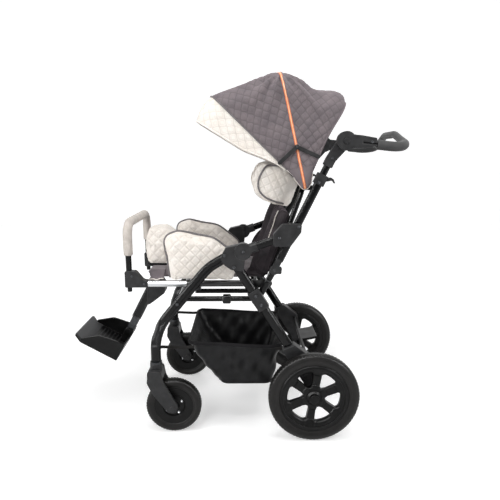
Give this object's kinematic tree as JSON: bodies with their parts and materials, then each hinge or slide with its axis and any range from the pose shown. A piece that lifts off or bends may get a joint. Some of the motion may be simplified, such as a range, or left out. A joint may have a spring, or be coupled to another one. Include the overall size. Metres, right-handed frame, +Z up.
{
  "type": "special needs stroller",
  "caption": "Folding special needs stroller with padded seat, side guards, winged headrest, quilted hood, grab bar, leg rest, basket and tilting push handle.",
  "frame": {"origin": "on the floor under the middle of the overall box", "axes": "+Z up; +X towards the push handle, so the child faces -X; +Y to the child's right"},
  "size_m": [1.1537, 0.6108, 1.2205],
  "materials": {
    "black_tube": "gloss black paint",
    "silver_tube": "satin",
    "dark_plastic": "matt moulded",
    "black_rim": "satin moulded",
    "tyre": "moulded rubber",
    "bright_steel": "zinc plated",
    "hood_cloth": "quilted dark grey cloth",
    "cream_cloth": "quilted cream cloth",
    "seat_cloth": "dark woven cloth",
    "basket_cloth": "black woven cloth",
    "grey_foam": "closed-cell foam"
  },
  "bodies": {
    "chassis": {"front_legs": "black_tube", "rear_legs": "black_tube", "shoulder_housings": "dark_plastic", "rear_leg_joints": "dark_plastic", "axle_housings": "dark_plastic", "rear_axle": "bright_steel", "cross_tubes": "black_tube", "lower_side_rails": "black_tube", "seat_rails": "silver_tube", "seat_underframe": "black_tube", "seat_cushion": "seat_cloth", "pommel": "cream_cloth", "bumper_sockets": "dark_plastic", "side_guards": "cream_cloth", "basket": "basket_cloth", "frame_fasteners": "bright_steel"},
    "lower_linkage": {"lower_links": "black_tube"},
    "push_frame": {"uprights": "black_tube", "elbow_blocks": "dark_plastic", "height_clamps": "dark_plastic", "hood_rear_bow": "black_tube", "hood_rear_panel": "hood_cloth"},
    "armrests": {"armrest_tubes": "black_tube", "armrest_ends": "dark_plastic", "rear_joint_covers": "dark_plastic"},
    "levers": {"clamp_levers": "dark_plastic"},
    "handle_mast": {"handle_posts": "black_tube", "handle_bases": "dark_plastic"},
    "handle": {"handle_arms": "dark_plastic", "handle_bar": "black_tube", "handle_grip": "grey_foam"},
    "left_button": {"left_tilt_button": "dark_plastic"},
    "right_button": {"right_tilt_button": "dark_plastic"},
    "hood_middle": {"hood_middle_bow": "black_tube", "hood_front_panel": "hood_cloth"},
    "hood_front": {"hood_front_bow": "black_tube", "hood_visor": "cream_cloth"},
    "stay_rear": {"stay_rear_arms": "dark_plastic"},
    "stay_front": {"stay_front_arms": "dark_plastic"},
    "backrest": {"back_frame": "black_tube", "back_pad": "seat_cloth"},
    "head_support": {"headrest": "cream_cloth", "headrest_plate": "dark_plastic"},
    "legrest": {"legrest_bracket": "dark_plastic", "legrest_hanger": "black_tube"},
    "legrest_bar": {"legrest_slider": "black_tube"},
    "foot_tray": {"footplate": "dark_plastic"},
    "grab_bar": {"bumper_bar": "black_tube", "bumper_foam": "grey_foam"},
    "brake": {"brake_bar": "black_tube"},
    "left_caster": {"left_caster_fork": "dark_plastic"},
    "left_front_wheel": {"left_front_tyre": "tyre", "left_front_rim": "black_rim"},
    "left_rear_wheel": {"left_rear_tyre": "tyre", "left_rear_rim": "black_rim"},
    "right_caster": {"right_caster_fork": "dark_plastic"},
    "right_front_wheel": {"right_front_tyre": "tyre", "right_front_rim": "black_rim"},
    "right_rear_wheel": {"right_rear_tyre": "tyre", "right_rear_rim": "black_rim"}
  },
  "joints": [
    {"name": "link_swing", "type": "hinge", "parent": "chassis", "child": "lower_linkage", "pos_m": [0.07784, 0, 0.461], "axis": [0, 1, 0], "range_deg": [-52.5, 0.5]},
    {"name": "frame_fold", "type": "hinge", "parent": "lower_linkage", "child": "push_frame", "pos_m": [0.13584, 0, 0.565], "axis": [0, 1, 0], "range_deg": [0, 136.16]},
    {"name": "armrest_swing", "type": "hinge", "parent": "chassis", "child": "armrests", "pos_m": [0.03184, 0, 0.635], "axis": [0, 1, 0], "range_deg": [-0.5, 60.5]},
    {"name": "clamp_release", "type": "hinge", "parent": "push_frame", "child": "levers", "pos_m": [0.31084, 0, 0.866], "axis": [0, -1, 0], "range_deg": [0, 70]},
    {"name": "handle_height", "type": "slide", "parent": "push_frame", "child": "handle_mast", "axis": [0.4387, 0, 0.8986], "range_m": [-0.025, 0.08]},
    {"name": "handle_tilt", "type": "hinge", "parent": "handle_mast", "child": "handle", "pos_m": [0.35784, 0, 0.987], "axis": [0, 1, 0], "range_deg": [-60, 75]},
    {"name": "left_button_press", "type": "slide", "parent": "handle", "child": "left_button", "axis": [0, 1, 0], "range_m": [0, 0.004], "stiffness_N_per_m": 600, "springref_m": -0.002},
    {"name": "right_button_press", "type": "slide", "parent": "handle", "child": "right_button", "axis": [0, -1, 0], "range_m": [0, 0.004], "stiffness_N_per_m": 600, "springref_m": -0.002},
    {"name": "hood_fold", "type": "hinge", "parent": "push_frame", "child": "hood_middle", "pos_m": [0.23484, 0, 0.838], "axis": [0, 1, 0], "range_deg": [0, 21], "deforming": ["hood_rear_panel", "hood_front_panel"]},
    {"name": "hood_front_fold", "type": "hinge", "parent": "hood_middle", "child": "hood_front", "pos_m": [0.23484, 0, 0.838], "axis": [0, 1, 0], "range_deg": [-0.5, 21.5]},
    {"name": "stay_rear_swing", "type": "hinge", "parent": "push_frame", "child": "stay_rear", "pos_m": [0.27484, 0, 0.938], "axis": [0, 1, 0], "range_deg": [-1, 63]},
    {"name": "stay_knuckle", "type": "hinge", "parent": "stay_rear", "child": "stay_front", "pos_m": [0.20484, 0, 0.969], "axis": [0, 1, 0], "range_deg": [-74.7, 1]},
    {"name": "recline", "type": "hinge", "parent": "chassis", "child": "backrest", "pos_m": [0.11684, 0, 0.515], "axis": [0, 1, 0], "range_deg": [-5, 25]},
    {"name": "headrest_height", "type": "slide", "parent": "backrest", "child": "head_support", "axis": [0.334, 0, 0.9426], "range_m": [0, 0.08]},
    {"name": "legrest_raise", "type": "hinge", "parent": "chassis", "child": "legrest", "pos_m": [-0.29316, 0, 0.512], "axis": [0, 1, 0], "range_deg": [-5, 55]},
    {"name": "legrest_length", "type": "slide", "parent": "legrest", "child": "legrest_bar", "axis": [-0.4633, 0, -0.8862], "range_m": [-0.025, 0.06]},
    {"name": "footplate_flip", "type": "hinge", "parent": "legrest_bar", "child": "foot_tray", "pos_m": [-0.40314, 0, 0.28433], "axis": [0, 1, 0], "range_deg": [0, 75]},
    {"name": "grab_bar_lift", "type": "slide", "parent": "chassis", "child": "grab_bar", "axis": [0, 0, 1], "range_m": [0, 0.06]},
    {"name": "brake_press", "type": "hinge", "parent": "chassis", "child": "brake", "pos_m": [0.24884, 0, 0.262], "axis": [0, 1, 0], "range_deg": [0, 25]},
    {"name": "left_caster_swivel", "type": "hinge", "parent": "chassis", "child": "left_caster", "pos_m": [-0.26516, -0.22, 0.25], "axis": [0, 0, 1], "continuous": true},
    {"name": "left_front_wheel_spin", "type": "hinge", "parent": "left_caster", "child": "left_front_wheel", "pos_m": [-0.20816, -0.22, 0.095], "axis": [0, 1, 0], "continuous": true},
    {"name": "left_rear_wheel_spin", "type": "hinge", "parent": "chassis", "child": "left_rear_wheel", "pos_m": [0.26684, -0.28, 0.152], "axis": [0, 1, 0], "continuous": true},
    {"name": "right_caster_swivel", "type": "hinge", "parent": "chassis", "child": "right_caster", "pos_m": [-0.26516, 0.22, 0.25], "axis": [0, 0, 1], "continuous": true},
    {"name": "right_front_wheel_spin", "type": "hinge", "parent": "right_caster", "child": "right_front_wheel", "pos_m": [-0.20816, 0.22, 0.095], "axis": [0, 1, 0], "continuous": true},
    {"name": "right_rear_wheel_spin", "type": "hinge", "parent": "chassis", "child": "right_rear_wheel", "pos_m": [0.26684, 0.28, 0.152], "axis": [0, 1, 0], "continuous": true}
  ],
  "couplings": [
    {"joint": "link_swing", "follows": "frame_fold", "ratio": -0.38015},
    {"joint": "armrest_swing", "follows": "frame_fold", "ratio": 0.44064},
    {"joint": "hood_front_fold", "follows": "hood_fold", "ratio": 1},
    {"joint": "stay_rear_swing", "follows": "hood_fold", "ratio": 2.9504},
    {"joint": "stay_knuckle", "follows": "hood_fold", "ratio": -3.5103}
  ]
}
